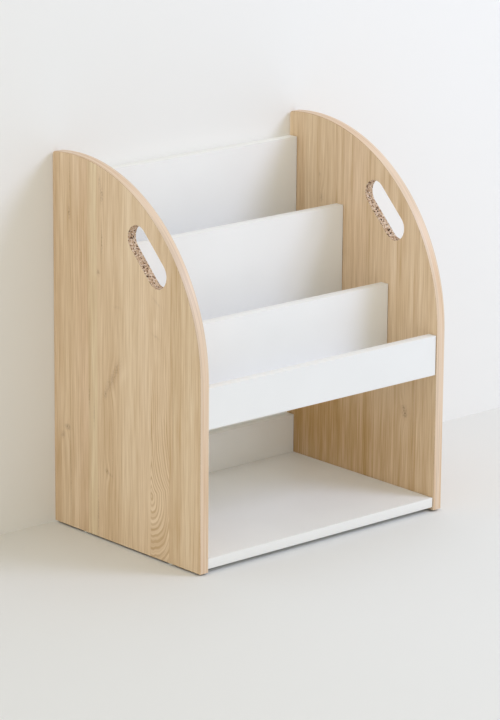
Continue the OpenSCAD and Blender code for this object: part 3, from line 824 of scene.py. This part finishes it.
for node in ("base_shelf_edge_strip", "lower_back_rail_edge_strip", "front_rail_edge_strips",
             "front_divider_edge_strip", "rear_divider_edge_strip", "back_panel_edge_strip"):
    white_strip_piece("strip_on_" + node.split("_edge")[0], node)

# %% [markdown]
# ## Cam discs
# A cam disc is turned with a screwdriver through the cross in its face. The rim of the casting is rounded and the
# cross is a recess. A keyway runs from the rim to just past the middle and takes the head of the bolt.

# %% Cam discs
CROSS_WIDE, CROSS_SPAN, CROSS_DEEP, RIM = 1.4, 9.0, 1.6, 0.5
KEY_WIDE, KEY_LONG, HEAD_ROOM = 7.2 * MM, 12 * MM, 0.3 * MM


def cross(shape, middle, axis):
    """Adds a closed plus-shaped bar round a point on the disc's face."""
    near, far = CROSS_WIDE * MM / 2, CROSS_SPAN * MM / 2
    corners = [(near, near), (near, far), (-near, far), (-near, near)]
    corners += [(-far, near), (-far, -near), (-near, -near), (-near, -far)]
    corners += [(near, -far), (near, -near), (far, -near), (far, near)]
    rings = []
    for deep in (-CROSS_DEEP * MM, CROSS_DEEP * MM):
        ring = []
        for across, along in corners:
            step = Vector((across, deep, along) if axis == 1 else (across, along, deep))
            ring.append(shape.verts.new(middle + step))
        rings.append(ring)
        shape.faces.new(ring)
    for i, corner in enumerate(rings[0]):
        shape.faces.new((rings[0][i - 1], corner, rings[1][i], rings[1][i - 1]))


def cam_discs():
    shape = bmesh.new()
    recess = bmesh.new()
    for near, far in discs:
        size, middle = far - near, (near + far) / 2
        axis = min((1, 2), key=lambda i: size[i])
        board = next(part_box(n) for n in WHITE_BOARDS if holds(*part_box(n), (near, far)))
        outwards = 1 if board[1][axis] - far[axis] < near[axis] - board[0][axis] else -1
        face = (far if outwards > 0 else near)[axis]
        before = set(shape.verts)
        rod(shape, middle, "xyz"[axis], size.x / 2, size[axis], DISC_SIDES)
        rim = dict.fromkeys(edge for vert in shape.verts if vert not in before for edge in vert.link_edges
                            if all(abs(v.co[axis] - face) < TOUCH for v in edge.verts))
        bmesh.ops.bevel(shape, geom=list(rim), offset=RIM * MM, segments=3, profile=0.5, affect="EDGES")
        middle[axis] = face
        cross(recess, middle, axis)
    for near, far in bolts:
        outwards, head = (1, near.x) if near.x > 0 else (-1, far.x)
        end = head - outwards * HEAD_ROOM
        drill(recess, (near + far) / 2, "x", end + outwards * KEY_LONG, end, KEY_WIDE)
    bmesh.ops.recalc_face_normals(recess, faces=recess.faces)
    return shape, recess


shape, recess = cam_discs()
carve(make_piece("cam_locks", shape, [cast_zinc], "die_cast_zinc", "cam_discs"), recess, 0)

# %% [markdown]
# ## Solids that stay as they are
# Bolts, dowels, glides and nails have their right shape in the frame, so they only take their finish.

# %% Finishes for the solids that stay
for node, material in (("cam_bolts", plated_steel), ("wooden_dowels", beech), ("glides", milky_plastic),
                       ("glide_nails", plated_steel)):
    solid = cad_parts[node]
    solid.data.materials.clear()
    solid.data.materials.append(material)

# %% [markdown]
# ## The room
# The shelf stands on a plain pale floor with a wall close behind it, which takes its soft shadow. The wall only shows
# from the front: from behind it is clear. Light is another matter. The real wall keeps light out of the open back of
# the compartment and shades the side next to it, so an unseen copy of the wall does that. Right behind the shelf the
# copy is open, but for a low sill on the lower rail, so that the back stays lit when it is looked at from behind and
# the white base shelf is not lost in the dark.

# %% Floor and wall
WALL_Y, WALL_HALF, WALL_HIGH, FLOOR_HALF, SILL = 168.5, 5000.0, 4000.0, 6000.0, 50.0
PAINT_MM = 3.33


def flat_sheet(name, quads, material):
    mesh = bpy.data.meshes.new(name)
    mesh.from_pydata([Vector(c) * MM for quad in quads for c in quad], [],
                     [tuple(range(4 * i, 4 * i + 4)) for i in range(len(quads))])
    mesh.materials.append(material)
    sheet = bpy.data.objects.new(name, mesh)
    bpy.context.scene.collection.objects.link(sheet)
    return sheet


def painted(name, code, see_through_behind):
    made = new_material(name)
    tree = made[1]
    place = add(tree, "TexCoord", out="Object")
    grain = add(tree, "TexNoise", {"Vector": place, "Scale": 1 / (PAINT_MM * MM), "Detail": 3.0})
    bump = add(tree, "Bump", {"Strength": 0.05, "Distance": 0.1 * MM, "Height": grain})
    paint = add(tree, "BsdfPrincipled", {"Base Color": linear(code), "Roughness": 0.8, "IOR": 1.45,
                                         "Specular IOR Level": 0.2, "Normal": bump})
    if see_through_behind:
        behind = add(tree, "NewGeometry", out="Backfacing")
        paint = add(tree, "MixShader", {0: behind, 1: paint, 2: add(tree, "BsdfTransparent")})
    tree.links.new(paint, made[2])
    return made[0]


def upright(left, right, bottom, top):
    """Corners of a piece of wall."""
    return [(left, WALL_Y, bottom), (right, WALL_Y, bottom), (right, WALL_Y, top), (left, WALL_Y, top)]


wall_paint = painted("pale_wall_paint", "#F1F1F0", True)
flat_sheet("floor", [[(-FLOOR_HALF, -FLOOR_HALF, 0), (FLOOR_HALF, -FLOOR_HALF, 0),
                      (FLOOR_HALF, FLOOR_HALF, 0), (-FLOOR_HALF, FLOOR_HALF, 0)]],
           painted("pale_floor_paint", "#EAEAE8", False))
wall = flat_sheet("wall", [upright(-WALL_HALF, WALL_HALF, 0, WALL_HIGH)], wall_paint)
wall.visible_shadow = wall.visible_diffuse = wall.visible_glossy = wall.visible_transmission = False
body_half, body_top = cad_box[1].x / MM, cad_box[1].z / MM
inside, rail_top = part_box("lower_back_rail")[1].x / MM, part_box("lower_back_rail")[1].z / MM
wall_pieces = [
    upright(-WALL_HALF, -body_half, 0, WALL_HIGH), upright(body_half, WALL_HALF, 0, WALL_HIGH),
    upright(-body_half, body_half, body_top, WALL_HIGH), upright(-inside, inside, rail_top, rail_top + SILL)]
flat_sheet("wall_for_light", wall_pieces, wall_paint).visible_camera = False

# %% [markdown]
# ## Light
# A big soft lamp stands high in front, to the right, and the pale room sends light from everywhere else. The camera,
# and metal or glass that mirrors the room, see a plain pale backdrop instead of that light's own colour.

# %% Lamp and room light
LAMP_ENERGY, ROOM_LIGHT = 31.5, 0.82
LAMP_COLOUR, ROOM_COLOUR = (0.64, 0.72, 1.0), (1.0, 0.975, 0.865, 1.0)
LAMP_TURN, LAMP_UP, LAMP_FAR, LAMP_SIZE = math.radians(35), math.radians(35), 3.0, 1.15
LAMP_AIM = Vector((0, 0, 250)) * MM

lamp_data = bpy.data.lights.new("softbox", "AREA")
lamp_data.shape, lamp_data.size, lamp_data.energy = "DISK", LAMP_SIZE, LAMP_ENERGY
lamp_data.color = LAMP_COLOUR
lamp = bpy.data.objects.new("softbox", lamp_data)
bpy.context.scene.collection.objects.link(lamp)
towards = Vector((math.sin(LAMP_TURN) * math.cos(LAMP_UP), -math.cos(LAMP_TURN) * math.cos(LAMP_UP),
                  math.sin(LAMP_UP)))
lamp.location = LAMP_AIM + towards * LAMP_FAR
lamp.rotation_euler = towards.to_track_quat("Z", "Y").to_euler()

world = bpy.data.worlds.new("pale_room")
bpy.context.scene.world = world
world.use_nodes = True
tree = world.node_tree
tree.nodes.clear()
rays = add(tree, "LightPath").node.outputs
seen = rays["Is Camera Ray"]
for ray in ("Is Glossy Ray", "Is Transmission Ray"):
    seen = add(tree, "Math", {0: seen, 1: rays[ray]}, operation="MAXIMUM")
room = add(tree, "Background", {"Color": ROOM_COLOUR, "Strength": ROOM_LIGHT})
backdrop = add(tree, "Background", {"Color": linear("#ECECEB"), "Strength": 1.0})
shown = add(tree, "MixShader", {0: seen, 1: room, 2: backdrop})
tree.links.new(shown, tree.nodes.new("ShaderNodeOutputWorld").inputs["Surface"])
bpy.context.scene.view_settings.view_transform = "Standard"
